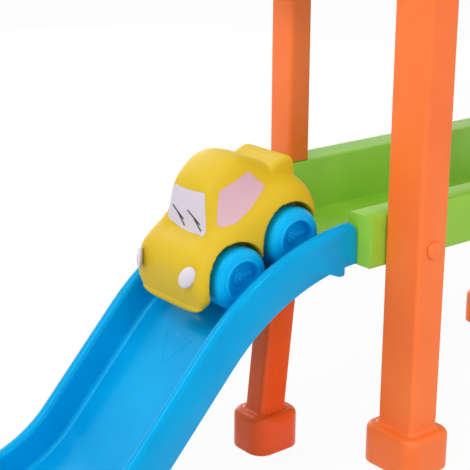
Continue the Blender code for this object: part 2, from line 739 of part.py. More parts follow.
def make_cabin(carriage):
    """The drive-through cabin with its guide shoes and the shaft's two bearing blocks."""
    mid = tower_mid
    roof = cabin_floor + cabin_high
    outline = rounded([(-cabin_out, 0), (cabin_out, 0), (cabin_out, roof + cabin_wall),
                       (-cabin_out, roof + cabin_wall)], edge_round, 2)
    cabin = piece("lift_cabin", prism(outline, "X", mid - cabin_half_x, mid + cabin_half_x), blue, carriage)
    inside = prism(rounded([(-cabin_half_y, cabin_floor), (cabin_half_y, cabin_floor), (cabin_half_y, roof),
                            (-cabin_half_y, roof)], edge_round, 2), "X",
                   mid - cabin_half_x - over, mid + cabin_half_x + over)
    cut(cabin, piece("cabin_inside", inside, None, carriage))
    x0, x1 = mid - window_wide / 2, mid + window_wide / 2
    window = prism(rounded([(x0, window_low), (x1, window_low), (x1, window_low + window_high),
                            (x0, window_low + window_high)], window_round, 3), "Y",
                   -cabin_out - over, -cabin_half_y + over)
    cut(cabin, piece("cabin_window", window, None, carriage))
    for side in (-1, 1):
        x = mid + side * rail_apart
        for i, z in enumerate((shoe_low, roof - shoe_long)):
            shoe = box(f"shoe_{side}_{i}", (x - shoe_wide / 2, cabin_out - cabin_wall / 2, z),
                       (x + shoe_wide / 2, tower_face - slide_gap, z + shoe_long), parent=carriage)
            join(cabin, shoe)
        slot = tee_outline(x, tower_face, tower_face - rail_out, slide_gap)
        cut(cabin, piece(f"shoe_slot_{side}", prism(slot, "Z", -over, roof + over), None, carriage))
    for side, name in ((-1, "near"), (1, "far")):
        y = side * (cabin_out - bearing_y / 2)
        block = prism(rounded([(mid - bearing_x / 2, roof), (mid + bearing_x / 2, roof),
                               (mid + bearing_x / 2, shaft_z + shaft_r + bearing_cap, bearing_round),
                               (mid - bearing_x / 2, shaft_z + shaft_r + bearing_cap, bearing_round)], 0, 4),
                      "Y", y - bearing_y / 2, y + bearing_y / 2)
        join(cabin, piece(f"bearing_{name}", block, None, carriage))
    bore = bored("shaft_bore", shaft_r + gap, -cabin_out - over, cabin_out + over, carriage,
                 (mid, 0, shaft_z), across)
    cut(cabin, bore)


def make_drive(crank):
    """Shaft, pinion and lobed knob, all turning together; their frame lies on the shaft's axis."""
    pinion_y = tower_face - gap - rack_thick
    knob_y = -cabin_out - gap
    end = -knob_y + knob_thick / 2
    turned("lift_shaft", [(0, end), (shaft_r, end), (shaft_r, -pinion_y - rack_thick + 2 * gap),
                          (0, -pinion_y - rack_thick + 2 * gap)], steel, crank, 16, (0, 0, 0), across)
    outline = tooth_outline(pinion_teeth)
    phase = Matrix.Rotation(math.pi, 2)
    outline = [phase @ p for p in outline]
    wheel = prism(outline, "Y", pinion_y + gap, pinion_y + rack_thick - 2 * gap)
    pinion = piece("lift_pinion", wheel, blue, crank)
    cut(pinion, bored("pinion_bore", shaft_r + gap / 2, -far_out, far_out, crank, (0, 0, 0), across, 16))
    rim = []
    for i in range(knob_lobes * lobe_points):
        a = 2 * math.pi * i / (knob_lobes * lobe_points)
        r = knob_r + knob_lobe * math.cos(knob_lobes * a)
        rim.append((r * math.cos(a), r * math.sin(a)))
    knob = piece("lift_knob", prism(rim, "Y", knob_y - knob_thick, knob_y), yellow, crank)
    cut(knob, bored("knob_bore", shaft_r + gap / 2, -knob_y - over, -knob_y + knob_thick / 2 + gap, crank,
                    (0, 0, 0), across, 16))


def make_lift():
    carriage = empty("lift_carriage", (0, 0, cabin_start), frame)
    crank = empty("lift_shaft_axis", (tower_mid, 0, shaft_z), carriage)
    make_tower()
    make_rack()
    make_cabin(carriage)
    make_drive(crank)


# The car body's rings from nose to tail, as shares: along (of the nose or tail), half width, sill and
# shoulder height, then out and up for the upper body's foot and for its edge, the top, and how far the
# ring leans back
car_ring_shares = (
    (1.00, 0.80, 0.95, 0.13, 0.58, 0.20, 0.30, 0.23, 0.24, 0.34),
    (0.95, 0.95, 1.10, 0.26, 0.67, 0.36, 0.35, 0.40, 0.41, 0.32),
    (0.74, 1.02, 0.60, 0.38, 0.71, 0.45, 0.38, 0.48, 0.50, 0.10),
    (0.48, 1.00, 0.50, 0.42, 0.71, 0.50, 0.45, 0.53, 0.55, 0.00),
    (0.27, 0.99, 0.50, 0.44, 0.72, 0.53, 0.52, 0.87, 0.93, 0.00),
    (-0.10, 0.99, 0.50, 0.45, 0.74, 0.54, 0.58, 0.95, 1.00, 0.00),
    (-0.41, 1.00, 0.50, 0.47, 0.73, 0.55, 0.57, 0.87, 0.92, 0.00),
    (-0.70, 1.00, 0.50, 0.48, 0.71, 0.54, 0.49, 0.61, 0.64, 0.00),
    (-0.92, 0.96, 0.50, 0.40, 0.68, 0.48, 0.42, 0.50, 0.51, 0.00),
    (-1.00, 0.76, 0.30, 0.19, 0.56, 0.29, 0.31, 0.34, 0.35, 0.00),
)
# The hollow over the chassis plate, as shares of length and height, between its two ends of one height
car_hollow_shares = ((0.46, 0.40), (0.24, 0.76), (-0.40, 0.76), (-0.60, 0.44))
hollow_end_share = 0.28
# The tail wing from its root over the crest and back below, as shares of its length and height
wing_shares = ((0, 0.80), (0.35, 0.97), (0.78, 1), (0.97, 0.84), (1, 0.45), (0.84, 0), (0.2, 0), (-0.1, 0.3))
sill_in_share = 0.8
side_lift_share = 0.11


def car_length(share):
    """A place along the car, as X in its own frame: the nose is at -X."""
    return -share * (car_nose if share > 0 else car_tail)


def make_shell(car):
    """The car body's cage of rings, smoothed, with the tail wing joined on."""
    bm = bmesh.new()
    rings = []
    for along, half, sill, shoulder, base_out, base_up, edge_out, edge_up, top, lean in car_ring_shares:
        low = -sill * car_sill
        side = [(half * sill_in_share * car_half, low), (half * car_half, low + side_lift_share * car_roof),
                (half * car_half, shoulder * car_roof), (base_out * car_half, base_up * car_roof),
                (edge_out * car_half, edge_up * car_roof)]
        ring = [(0, low)] + side + [(0, top * car_roof)] + [(-y, z) for y, z in reversed(side)]
        rings.append([bm.verts.new((car_length(along) + lean * (z - low), y, z)) for y, z in ring])
    for front, back in zip(rings, rings[1:]):
        for i, j in zip(range(len(front)), [*range(1, len(front)), 0]):
            bm.faces.new((front[i], front[j], back[j], back[i]))
    bm.faces.new(rings[0])
    bm.faces.new(rings[-1])
    body = piece("car_body", bm, yellow, car, smooth=60)
    sub = body.modifiers.new("smooth", "SUBSURF")
    sub.levels = sub.render_levels = 2
    wing = [(wing_root + along * (wing_end - wing_root), wing_low + up * (wing_high - wing_low))
            for along, up in wing_shares]
    join(body, piece("tail_wing", prism(rounded(wing, wing_round, 2), "Y", -wing_half, wing_half), None, car))
    return body


def make_car():
    """The car on the ramp's upper curve: its carrier turns about the curve's own centre."""
    wheel_path = ramp_bend + gap + wheel_r
    half_angle = math.asin(wheelbase_half / wheel_path)
    slope = car_slope_front - half_angle
    pivot = empty("car_roll_axis", bend_centre, frame)
    reach = wheel_path * math.cos(half_angle)
    car = empty("car_frame", (-reach * math.sin(slope), 0, reach * math.cos(slope)), pivot, -slope)
    body = make_shell(car)
    low = -car_sill - over
    end, end_top = chassis_long + gap, hollow_end_share * car_roof
    hollow = [(car_length(along), up * car_roof) for along, up in car_hollow_shares]
    hollow = [(-end, low), (-end, end_top)] + hollow + [(end, end_top), (end, low)]
    inside = chassis_half + gap
    cut(body, piece("car_hollow", prism(hollow, "Y", -inside, inside), None, car))
    well = wheel_outer - wheel_wide - well_gap
    for fore, name in ((wheelbase_half, "front"), (-wheelbase_half, "rear")):
        for side, side_name in ((1, "far"), (-1, "near")):
            low_y, high_y = (well, car_half + over) if side > 0 else (-car_half - over, -well)
            cut(body, bored(f"arch_{name}_{side_name}", arch_r, low_y, high_y, car,
                            (-fore - arch_ahead, 0, arch_up), (-across[0], 0, 0), 32))
        clear = axle_r + gap
        cut(body, box(f"axle_slot_{name}", (-fore - clear, -well - over, low),
                      (-fore + clear, well + over, clear), parent=car))
        make_axle(name, fore, car)
    make_lamps(body, car)
    make_chassis(car)


def make_lamps(body, car):
    for side, name in ((-1, "near"), (1, "far")):
        for label, grow, material in ((f"headlight_{name}", 0, lilac), (f"lamp_seat_{name}", gap, None)):
            bm = bmesh.new()
            bmesh.ops.create_uvsphere(bm, u_segments=16, v_segments=10, radius=1)
            bmesh.ops.scale(bm, vec=(lamp_deep + grow, lamp_wide + grow, lamp_tall + grow), verts=bm.verts)
            place, turn = (-lamp_x, side * lamp_y, lamp_z), (0, 0, -side * lamp_turn)
            lamp = piece(label, bm, material, car, place, turn, 60)
        cut(body, lamp)


def make_axle(name, fore, car):
    """An axle rod pressed into its two wheels; the axle's own frame turns with them."""
    axle = empty(f"{name}_axle_axis", (-fore, 0, 0), car)
    floor = wheel_outer - hub_deep
    blind = floor - axle_cover
    end = blind - gap
    rod = [(0, end), (axle_r, end), (axle_r, -end), (0, -end)]
    turned(f"{name}_axle", rod, steel, axle, 12, (0, 0, 0), across)
    inner = wheel_outer - wheel_wide
    drawn = wheel_round * (1 - math.cos(math.radians(45)))
    profile = [(0, floor + hub_dot), (hub_dot_r, floor + hub_dot / 2), (hub_dot_r, floor), (hub_r, floor),
               (hub_r, wheel_outer), (hub_r + hub_lip, wheel_outer), (wheel_r - wheel_round, wheel_outer),
               (wheel_r - drawn, wheel_outer - drawn), (wheel_r, wheel_outer - wheel_round),
               (wheel_r, inner + wheel_heel), (wheel_r - wheel_heel, inner), (axle_r + gap, inner),
               (axle_r + gap, blind), (0, blind)]
    for side, side_name in ((1, "far"), (-1, "near")):
        facing = (-side * across[0], 0, 0)
        turned(f"{name}_wheel_{side_name}", profile, wheel_blue, axle, 24, (0, 0, 0), facing)


def make_chassis(car):
    """The plate under the car with a block across each axle."""
    top = -axle_r - gap
    plate = box("car_chassis", (-chassis_long, -chassis_half, top - chassis_thick),
                (chassis_long, chassis_half, top), blue, car)
    for fore, name in ((wheelbase_half, "front"), (-wheelbase_half, "rear")):
        block = box(f"axle_block_{name}", (-fore - axle_block / 2, -chassis_half, top - chassis_thick / 2),
                    (-fore + axle_block / 2, chassis_half, axle_r + chassis_thick), parent=car)
        join(plate, block)
        cut(plate, bored(f"axle_bore_{name}", axle_r + gap, -chassis_half - over, chassis_half + over, car,
                         (-fore, 0, 0), across, 16))


make_decks()
make_posts()
make_ramp_leg(make_ramp())
make_lift()
make_car()
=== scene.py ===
import json
import math
import bmesh
import bpy
from mathutils import Matrix, Vector

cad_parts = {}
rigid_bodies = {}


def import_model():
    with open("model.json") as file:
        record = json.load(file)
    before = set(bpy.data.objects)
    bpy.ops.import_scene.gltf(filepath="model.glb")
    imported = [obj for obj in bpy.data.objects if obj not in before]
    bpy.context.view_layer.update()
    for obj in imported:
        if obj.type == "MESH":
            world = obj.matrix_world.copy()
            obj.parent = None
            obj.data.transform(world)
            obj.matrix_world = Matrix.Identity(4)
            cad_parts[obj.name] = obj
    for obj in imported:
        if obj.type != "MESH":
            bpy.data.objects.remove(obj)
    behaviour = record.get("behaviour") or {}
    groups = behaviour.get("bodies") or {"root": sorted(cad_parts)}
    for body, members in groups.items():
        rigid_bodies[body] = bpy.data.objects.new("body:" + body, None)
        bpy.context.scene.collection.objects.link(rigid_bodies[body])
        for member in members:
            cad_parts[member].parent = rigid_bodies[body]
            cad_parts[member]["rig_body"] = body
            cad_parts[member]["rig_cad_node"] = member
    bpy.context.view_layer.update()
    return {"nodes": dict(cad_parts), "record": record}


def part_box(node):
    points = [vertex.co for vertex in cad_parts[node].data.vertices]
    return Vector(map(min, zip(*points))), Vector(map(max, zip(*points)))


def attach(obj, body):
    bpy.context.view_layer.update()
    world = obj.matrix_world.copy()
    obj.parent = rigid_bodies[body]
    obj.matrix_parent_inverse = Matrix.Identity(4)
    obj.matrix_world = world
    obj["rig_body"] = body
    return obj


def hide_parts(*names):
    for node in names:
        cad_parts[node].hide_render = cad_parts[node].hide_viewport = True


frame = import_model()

mm = 0.001
weld = 0.001 * mm   # points closer than this are merged
near = 0.01 * mm    # heights closer than this count as level
skirt = 5.1 * mm    # the lower deck's rails reach this far below the top of its floor
scene = bpy.context.scene
nodes = frame["nodes"]


# small helpers

def middle(name):
    low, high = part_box(name)
    return (low + high) / 2


# the deck's frame: its ramp end, the lane's middle and the floor's top; and the car's, between its axles
lanePlace = Vector((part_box("lower_deck")[0].x, middle("ramp").y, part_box("lower_deck")[0].z + skirt))
carPlace = (middle("front_axle") + middle("rear_axle")) / 2
carRise = middle("rear_axle") - middle("front_axle")
carSlope = math.atan2(carRise.z, carRise.x)
toLane = Matrix.Translation(lanePlace)
toCar = Matrix.Translation(carPlace) @ Matrix.Rotation(-carSlope, 4, "Y")


def aboveLane(height):
    # a height over the ground, in metres, as millimetres over the lane's floor
    return (height - lanePlace.z) / mm


def only(*objs):
    # nothing but these selected, the last one active
    if bpy.context.object and bpy.context.object.mode != "OBJECT":
        bpy.ops.object.mode_set(mode="OBJECT")
    bpy.ops.object.select_all(action="DESELECT")
    for obj in objs:
        obj.select_set(True)
        bpy.context.view_layer.objects.active = obj


def edit(obj, kind="FACE"):
    only(obj)
    bpy.ops.object.mode_set(mode="EDIT")
    bpy.ops.mesh.select_mode(type=kind)
    bpy.ops.mesh.select_all(action="DESELECT")


def done():
    bpy.ops.object.mode_set(mode="OBJECT")
    return bpy.context.object


def everything():
    bpy.ops.mesh.select_all(action="SELECT")


def pick(test, kind="FACE"):
    # selects faces, edges or points of the mesh in edit mode by a test on the element
    bpy.ops.mesh.select_mode(type=kind)
    bpy.ops.mesh.select_all(action="DESELECT")
    shape = bmesh.from_edit_mesh(bpy.context.object.data)
    shape.normal_update()
    for part in {"FACE": shape.faces, "EDGE": shape.edges, "VERT": shape.verts}[kind]:
        if test(part):
            part.select_set(True)
    shape.select_flush_mode()
    bmesh.update_edit_mesh(bpy.context.object.data)


def roundOff(size, steps):
    # rounds the selected edges, size in millimetres
    bpy.ops.mesh.bevel(offset=size * mm, segments=steps, profile=0.5)


def pull(x, y, z):
    # draws the selected faces out, in metres
    bpy.ops.mesh.extrude_region_move(TRANSFORM_OT_translate={"value": (x, y, z)})


def modify(obj, kind, **settings):
    # adds a modifier and applies it at once
    only(obj)
    bpy.ops.object.modifier_add(type=kind)
    step = obj.modifiers[-1]
    for key, value in settings.items():
        setattr(step, key, value)
    bpy.ops.object.modifier_apply(modifier=step.name)
    return obj


def smooth(obj, angle=40):
    only(obj)
    bpy.ops.object.shade_smooth_by_angle(angle=math.radians(angle))
    return obj


def settle(obj, matrix):
    # puts a piece in its place and leaves its object at the origin
    obj.matrix_world = matrix @ obj.matrix_world
    only(obj)
    bpy.ops.object.transform_apply(location=True, rotation=True, scale=True)
    return obj


def outward(obj):
    # merges what coincides and turns every face of a closed shape outwards
    edit(obj)
    everything()
    bpy.ops.mesh.remove_doubles(threshold=weld)
    bpy.ops.mesh.normals_make_consistent(inside=False)
    return done()


def turnOver(obj):
    # an open sheet's faces look the other way
    edit(obj)
    everything()
    bpy.ops.mesh.flip_normals()
    return done()


def give(obj, material, body="root", stands=()):
    obj.data.materials.clear()
    for each in material if isinstance(material, (list, tuple)) else [material]:
        obj.data.materials.append(each)
    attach(obj, body)
    if stands:
        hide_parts(*stands)
    return obj


def cube(name, low, high):
    only()
    bpy.ops.mesh.primitive_cube_add(size=1, location=(low + high) / 2, scale=high - low)
    bpy.ops.object.transform_apply(location=True, rotation=True, scale=True)
    bpy.context.object.name = name
    return bpy.context.object


def drum(name, radius, length, centre, sides):
    # a cylinder along Y
    only()
    bpy.ops.mesh.primitive_cylinder_add(vertices=sides, radius=radius, depth=length, location=centre,
                                        rotation=(math.pi / 2, 0, 0))
    bpy.ops.object.transform_apply(location=True, rotation=True, scale=True)
    bpy.context.object.name = name
    return bpy.context.object


def prism(name, outline, half):
    # a side outline in millimetres, drawn across from -half to half
    only()
    bpy.ops.mesh.primitive_circle_add(vertices=len(outline), fill_type="NGON")
    block = bpy.context.object
    block.name = name
    for vertex, (x, z) in zip(block.data.vertices, outline):
        vertex.co = (x * mm, -half * mm, z * mm)
    edit(block)
    everything()
    pull(0, 2 * half * mm, 0)
    done()
    return outward(block)


def carve(body, tool, how="DIFFERENCE"):
    modify(body, "BOOLEAN", object=tool, operation=how, solver="EXACT")
    bpy.data.objects.remove(tool)
    return body


def join(body, tool):
    return carve(body, tool, "UNION")


# materials

def perMetre(size):
    # a pattern's scale from the size of one of its features in millimetres
    return 1000 / size


def toLinear(colour):
    parts = [int(colour[i:i + 2], 16) / 255 for i in (1, 3, 5)]
    return [c / 12.92 if c <= 0.04045 else ((c + 0.055) / 1.055) ** 2.4 for c in parts] + [1.0]


def addNode(tree, kind, inputs=None, **settings):
    node = tree.nodes.new("ShaderNode" + kind)
    for key, value in settings.items():
        setattr(node, key, value)
    for socket, value in (inputs or {}).items():
        if isinstance(value, bpy.types.NodeSocket):
            tree.links.new(value, node.inputs[socket])
        else:
            node.inputs[socket].default_value = value
    return node


def startMaterial(name):
    material = bpy.data.materials.new(name)
    material.use_nodes = True
    tree = material.node_tree
    tree.nodes.clear()
    place = addNode(tree, "TexCoord").outputs["Object"]
    return material, tree, place


def rampOf(tree, factor, stops):
    node = addNode(tree, "ValToRGB", {"Fac": factor})
    marks = node.color_ramp.elements
    while len(marks) < len(stops):
        marks.new(0.5)
    for mark, (at, colour) in zip(marks, stops):
        mark.position = at
        mark.color = toLinear(colour)
    return node.outputs["Color"]


# what moulded plastic shows, as sizes in millimetres: faint clouds in its colour, soft sinks in its faces,
# patches scuffed by hands, and the mould's etched tooth, which is finer but drawn this coarse so that it shows;
# then how deep the sinks and the tooth are
plasticMarks = dict(cloud=62.5, sink=35.7, scuff=14.3, tooth=0.526, sinkDeep=0.8, toothDeep=0.06)


def mouldedPlastic(name, look, marks=plasticMarks):
    material, tree, place = startMaterial(name)
    cloud = addNode(tree, "TexNoise", {"Vector": place, "Scale": perMetre(marks["cloud"]), "Detail": 3.0,
                                       "Roughness": 0.55})
    colour = rampOf(tree, cloud.outputs["Fac"],
                    ((0.32, look["dark"]), (0.52, look["colour"]), (0.72, look["light"])))
    scuff = addNode(tree, "TexNoise", {"Vector": place, "Scale": perMetre(marks["scuff"]), "Detail": 6.0,
                                       "Roughness": 0.7, "Distortion": 0.6})
    rough = addNode(tree, "MapRange", {"Value": scuff.outputs["Fac"], "From Min": 0.35, "From Max": 0.75,
                                       "To Min": look["rough"], "To Max": look["rough"] + look.get("scuff", 0.10)})
    grain = addNode(tree, "TexNoise", {"Vector": place, "Scale": perMetre(marks["tooth"]), "Detail": 2.0,
                                       "Roughness": 0.6})
    swell = addNode(tree, "TexNoise", {"Vector": place, "Scale": perMetre(marks["sink"]), "Detail": 2.0,
                                       "Roughness": 0.5})
    soft = addNode(tree, "Bump", {"Height": swell.outputs["Fac"], "Strength": 0.12,
                                  "Distance": marks["sinkDeep"] * mm})
    tooth = addNode(tree, "Bump", {"Height": grain.outputs["Fac"], "Strength": 0.10,
                                   "Distance": marks["toothDeep"] * mm, "Normal": soft.outputs["Normal"]})
    shader = addNode(tree, "BsdfPrincipled", {
        "Base Color": colour, "Roughness": rough.outputs["Result"], "Normal": tooth.outputs["Normal"],
        "IOR": 1.5, "Specular IOR Level": look.get("shine", 0.5), "Specular Tint": look.get("tint", (1, 1, 1, 1)),
        "Subsurface Weight": look.get("glow", 0.0), "Subsurface Radius": (3 * mm, 1.8 * mm, 1 * mm),
        "Subsurface Scale": 1.0})
    addNode(tree, "OutputMaterial", {"Surface": shader.outputs["BSDF"]})
    return material


# lines that the die leaves along drawn steel rod: finer on the real one, drawn this coarse so that they show
steelMarks = dict(apart=1.11, long=83.3, deep=0.05)


def drawnSteel(name, marks=steelMarks):
    material, tree, place = startMaterial(name)
    apart, along = perMetre(marks["apart"]), perMetre(marks["long"])
    drawn = addNode(tree, "Mapping", {"Vector": place, "Scale": (apart, along, apart)})
    lines = addNode(tree, "TexNoise", {"Vector": drawn.outputs["Vector"], "Scale": 1.0, "Detail": 4.0,
                                       "Roughness": 0.6})
    colour = rampOf(tree, lines.outputs["Fac"], ((0.3, "#A8ABB1"), (0.7, "#C6C8CD")))
    rough = addNode(tree, "MapRange", {"Value": lines.outputs["Fac"], "To Min": 0.22, "To Max": 0.38})
    bump = addNode(tree, "Bump", {"Height": lines.outputs["Fac"], "Strength": 0.2, "Distance": marks["deep"] * mm})
    shader = addNode(tree, "BsdfPrincipled", {"Base Color": colour, "Roughness": rough.outputs["Result"],
                                              "Normal": bump.outputs["Normal"], "Metallic": 1.0})
    addNode(tree, "OutputMaterial", {"Surface": shader.outputs["BSDF"]})
    return material


finishes = {
    # ABS from a lightly etched mould: even colour with a broad, satin sheen
    "deck_green": mouldedPlastic("mouldedGreenAbs", dict(
        dark="#8AC634", colour="#93CD3C", light="#9BD348", rough=0.36)),
    "post_orange": mouldedPlastic("mouldedOrangeAbs", dict(
        dark="#F66E22", colour="#FB7528", light="#FD7D32", rough=0.36)),
    "lamp_white": mouldedPlastic("mouldedWhiteAbs", dict(
        dark="#D3CBD6", colour="#D9D2DB", light="#DFD9E1", rough=0.25)),
    # the leaning leg: the posts' orange painted deeper and redder, as painted shade for the leg that stands under
    # the ramp; from a smoother mould: narrow, weak highlights
    "leg_orange": mouldedPlastic("shadedSmoothOrangeAbs", dict(
        dark="#EF551D", colour="#F45C20", light="#F86427", rough=0.24, shine=0.25)),
    # ABS from a polished mould: wet-looking highlights that keep the deep blue under them
    "ramp_blue": mouldedPlastic("polishedBlueAbs", dict(
        dark="#0098D4", colour="#00A0DE", light="#02A9E5", rough=0.16, shine=0.50, tint=(0.1, 0.75, 1.0, 1))),
    "wheel_blue": mouldedPlastic("polishedPaleBlueAbs", dict(
        dark="#05A8E7", colour="#08B0F0", light="#0EB8F6", rough=0.17, scuff=0.06, shine=0.40,
        tint=(0.15, 0.78, 1.0, 1))),
    # soft vinyl cast in a satin mould: a dull sheen, and a little light goes in and softens the shade
    "car_yellow": mouldedPlastic("mouldedYellowVinyl", dict(
        dark="#D4B116", colour="#D8B61A", light="#DDBB21", rough=0.45, glow=0.06, shine=0.30)),
    # pad-printed ink on the vinyl: a thin, even film, a little smoother than what it lies on
    "window_print": mouldedPlastic("printedWhiteInk", dict(
        dark="#CFC6D2", colour="#D3CAD7", light="#D8D0DC", rough=0.30, shine=0.3)),
    "side_print": mouldedPlastic("printedLilacInk", dict(
        dark="#CDA3B0", colour="#D2A9B5", light="#D8B0BB", rough=0.30, shine=0.3)),
    # a darker, browner border round each window panel
    "window_edge": mouldedPlastic("brownWindowBorder", dict(
        dark="#C48C7C", colour="#CA9484", light="#D09C8C", rough=0.35)),
    "wiper_black": mouldedPlastic("printedBlackInk", dict(
        dark="#1E1C22", colour="#242228", light="#2B2930", rough=0.40)),
    # drawn steel rod: grey metal with fine streaks of gloss along it
    "axle_steel": drawnSteel("drawnSteel"),
}
print("materials made")


# moulded pieces in the shape of their CAD nodes, with their edges broken, in millimetres

slotOf = {entry["node"]: entry["material_slot"] for entry in frame["record"]["subparts"]}
bodyOf = {member: body for body, members in frame["record"]["behaviour"]["bodies"].items() for member in members}

softEdges = {
    "lower_deck": dict(piece="lowerDeck", width=0.7, steps=3),
    "roof_deck": dict(piece="roofDeck", width=0.7, steps=3),
    "ramp": dict(piece="driveRamp", width=0.35, steps=2),
    "lift_base": dict(piece="liftBase", width=0.6, steps=3),
    "lift_tower": dict(piece="liftTower", width=0.5, steps=3),
    "lift_cap": dict(piece="liftCap", width=0.9, steps=3),
    "lift_cabin": dict(piece="liftCabin", width=0.5, steps=3),
    "lift_rack": dict(piece="liftRack", width=0.2, steps=2),
    "lift_pinion": dict(piece="liftPinion", width=0.2, steps=2),
    "lift_knob": dict(piece="liftKnob", width=1.6, steps=4),
    "car_chassis": dict(piece="carChassis", width=0.4, steps=2),
}
flatWithin, sharpFrom = math.radians(0.4), math.radians(38)


def softCopy(name, look):
    # a merged copy of a CAD node with its sharp edges rounded
    twin = nodes[name].copy()
    twin.data = nodes[name].data.copy()
    for key in ("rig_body", "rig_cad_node"):   # the copy is a piece of its own
        del twin[key]
    twin.parent = None
    twin.name = look["piece"]
    scene.collection.objects.link(twin)
    edit(twin)
    everything()
    bpy.ops.mesh.remove_doubles(threshold=2 * weld)
    bpy.ops.mesh.dissolve_limited(angle_limit=flatWithin)
    done()
    modify(twin, "BEVEL", width=look["width"] * mm, segments=look["steps"], limit_method="ANGLE",
           angle_limit=sharpFrom, use_clamp_overlap=True)
    smooth(twin, 38)
    return give(twin, finishes[slotOf[name]], bodyOf[name], [name])


for name, look in softEdges.items():
    softCopy(name, look)
for name, node in nodes.items():
    node.data.materials.clear()
    node.data.materials.append(finishes[slotOf[name]])
print("moulded pieces made")


# posts: a bell foot drawn up into a square post, with plugs where an end seats in a wall
# wide, slim and leg are half widths along and across, and heights are over the lane's floor

postLook = dict(wide=(10.0, 12.5), slim=(7.45, 9.0), leg=(9.1, 7.0), corner=2.4, crown=2.6,
                flare=6.6, side=15.5, shoulder=6.6, neck=2.9, footEdge=0.8,
                neckShort=0.1, plug=4.85, plugLong=9.0, seatGap=0.3, wallTop=30.3, wallUnder=-5.4,
                legAlong=-25.6, legLean=6.1, legHead=2.0)


def isUpright(edge):
    return abs(edge.verts[0].co.z - edge.verts[1].co.z) > near


def isLevel(edge, height):
    return all(abs(v.co.z - height * mm) < near for v in edge.verts)


def isStep(edge, height):
    # a level edge between a face that lies flat and one that stands
    return (isLevel(edge, height) and len(edge.link_faces) == 2
            and abs(edge.link_faces[0].normal.z - edge.link_faces[1].normal.z) > 0.5)


def isEnd(face, up, height):
    # a flat face at that height that looks up (1) or down (-1)
    return face.normal.z * up > 0.95 and abs(face.calc_center_median().z - height * mm) < near


def makePost(name, half, low, high, look, bell=False, crown=False, lean=0.0, plugHigh=False, plugLow=False):
    grow = look["flare"] if bell else 0
    top = low + look["side"] + look["shoulder"] if bell else high
    x, y = half[0] + grow, half[1] + grow
    piece = cube(name, Vector((-x, -y, low)) * mm, Vector((x, y, top)) * mm)
    edit(piece)
    pick(isUpright, "EDGE")
    roundOff(look["corner"] + grow, 8 if bell else 5)
    if bell:
        shoulder = look["shoulder"] - look["neck"]
        pick(lambda e: isStep(e, top), "EDGE")
        roundOff(shoulder, 8)
        pick(lambda e: isLevel(e, low), "EDGE")
        roundOff(look["footEdge"], 3)
        pick(lambda f: isEnd(f, 1, top))
        bpy.ops.mesh.inset(thickness=(grow - shoulder) * mm)
        rise = (high - top) * mm
        pull(rise * math.tan(math.radians(lean)), 0, rise)
        pick(lambda e: isStep(e, top), "EDGE")
        roundOff(look["neck"] - look["neckShort"], 6)   # just short of the shoulder's rounding
    for wanted, up, height in ((plugHigh, 1, high), (plugLow, -1, low)):
        if wanted:
            pick(lambda f: isEnd(f, up, height))
            bpy.ops.mesh.inset(thickness=(half[0] - look["plug"]) * mm)
            pull(0, 0, up * look["plugLong"] * mm)
    if crown:
        pick(lambda e: isLevel(e, high), "EDGE")
        roundOff(look["crown"], 5)
    done()
    outward(piece)
    return smooth(piece, 38)


def stand(piece, node, along, across, finish):
    # stands a finished post in its node's place
    settle(piece, Matrix.Translation((along, across, lanePlace.z)))
    give(piece, finishes[finish], "root", [node])


def makePosts(look):
    ground, roofUnder = aboveLane(0), aboveLane(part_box("roof_deck")[0].z) - look["seatGap"]
    for end in ("front", "rear"):
        node = end + "_wide_post"
        top = aboveLane(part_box(node)[1].z)
        piece = makePost(end + "WidePost", look["wide"], ground, top, look, bell=True, crown=True)
        stand(piece, node, middle(node).x, middle(node).y, "post_orange")
        node = end + "_slim_post"
        piece = makePost(end + "SlimPost", look["slim"], look["wallTop"], roofUnder, look,
                         plugHigh=True, plugLow=True)
        stand(piece, node, middle(node).x, middle(node).y, "post_orange")
    node = "rear_wall_leg"
    piece = makePost("rearWallLeg", look["slim"], ground, look["wallUnder"], look, bell=True, plugHigh=True)
    stand(piece, node, middle(node).x, middle(node).y, "post_orange")
    top = aboveLane(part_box("ramp_leg")[1].z) - look["legHead"]
    piece = makePost("rampLeg", look["leg"], ground, top, look, bell=True, lean=look["legLean"])
    # the leg takes the deeper orange, painted shade on top of the ramp's real shadow
    stand(piece, "ramp_leg", lanePlace.x + look["legAlong"] * mm, lanePlace.y, "leg_orange")


makePosts(postLook)
print("posts made")


# the car's shell, modelled on its own axes: nose at -X, axles at Z = 0, then set on the ramp

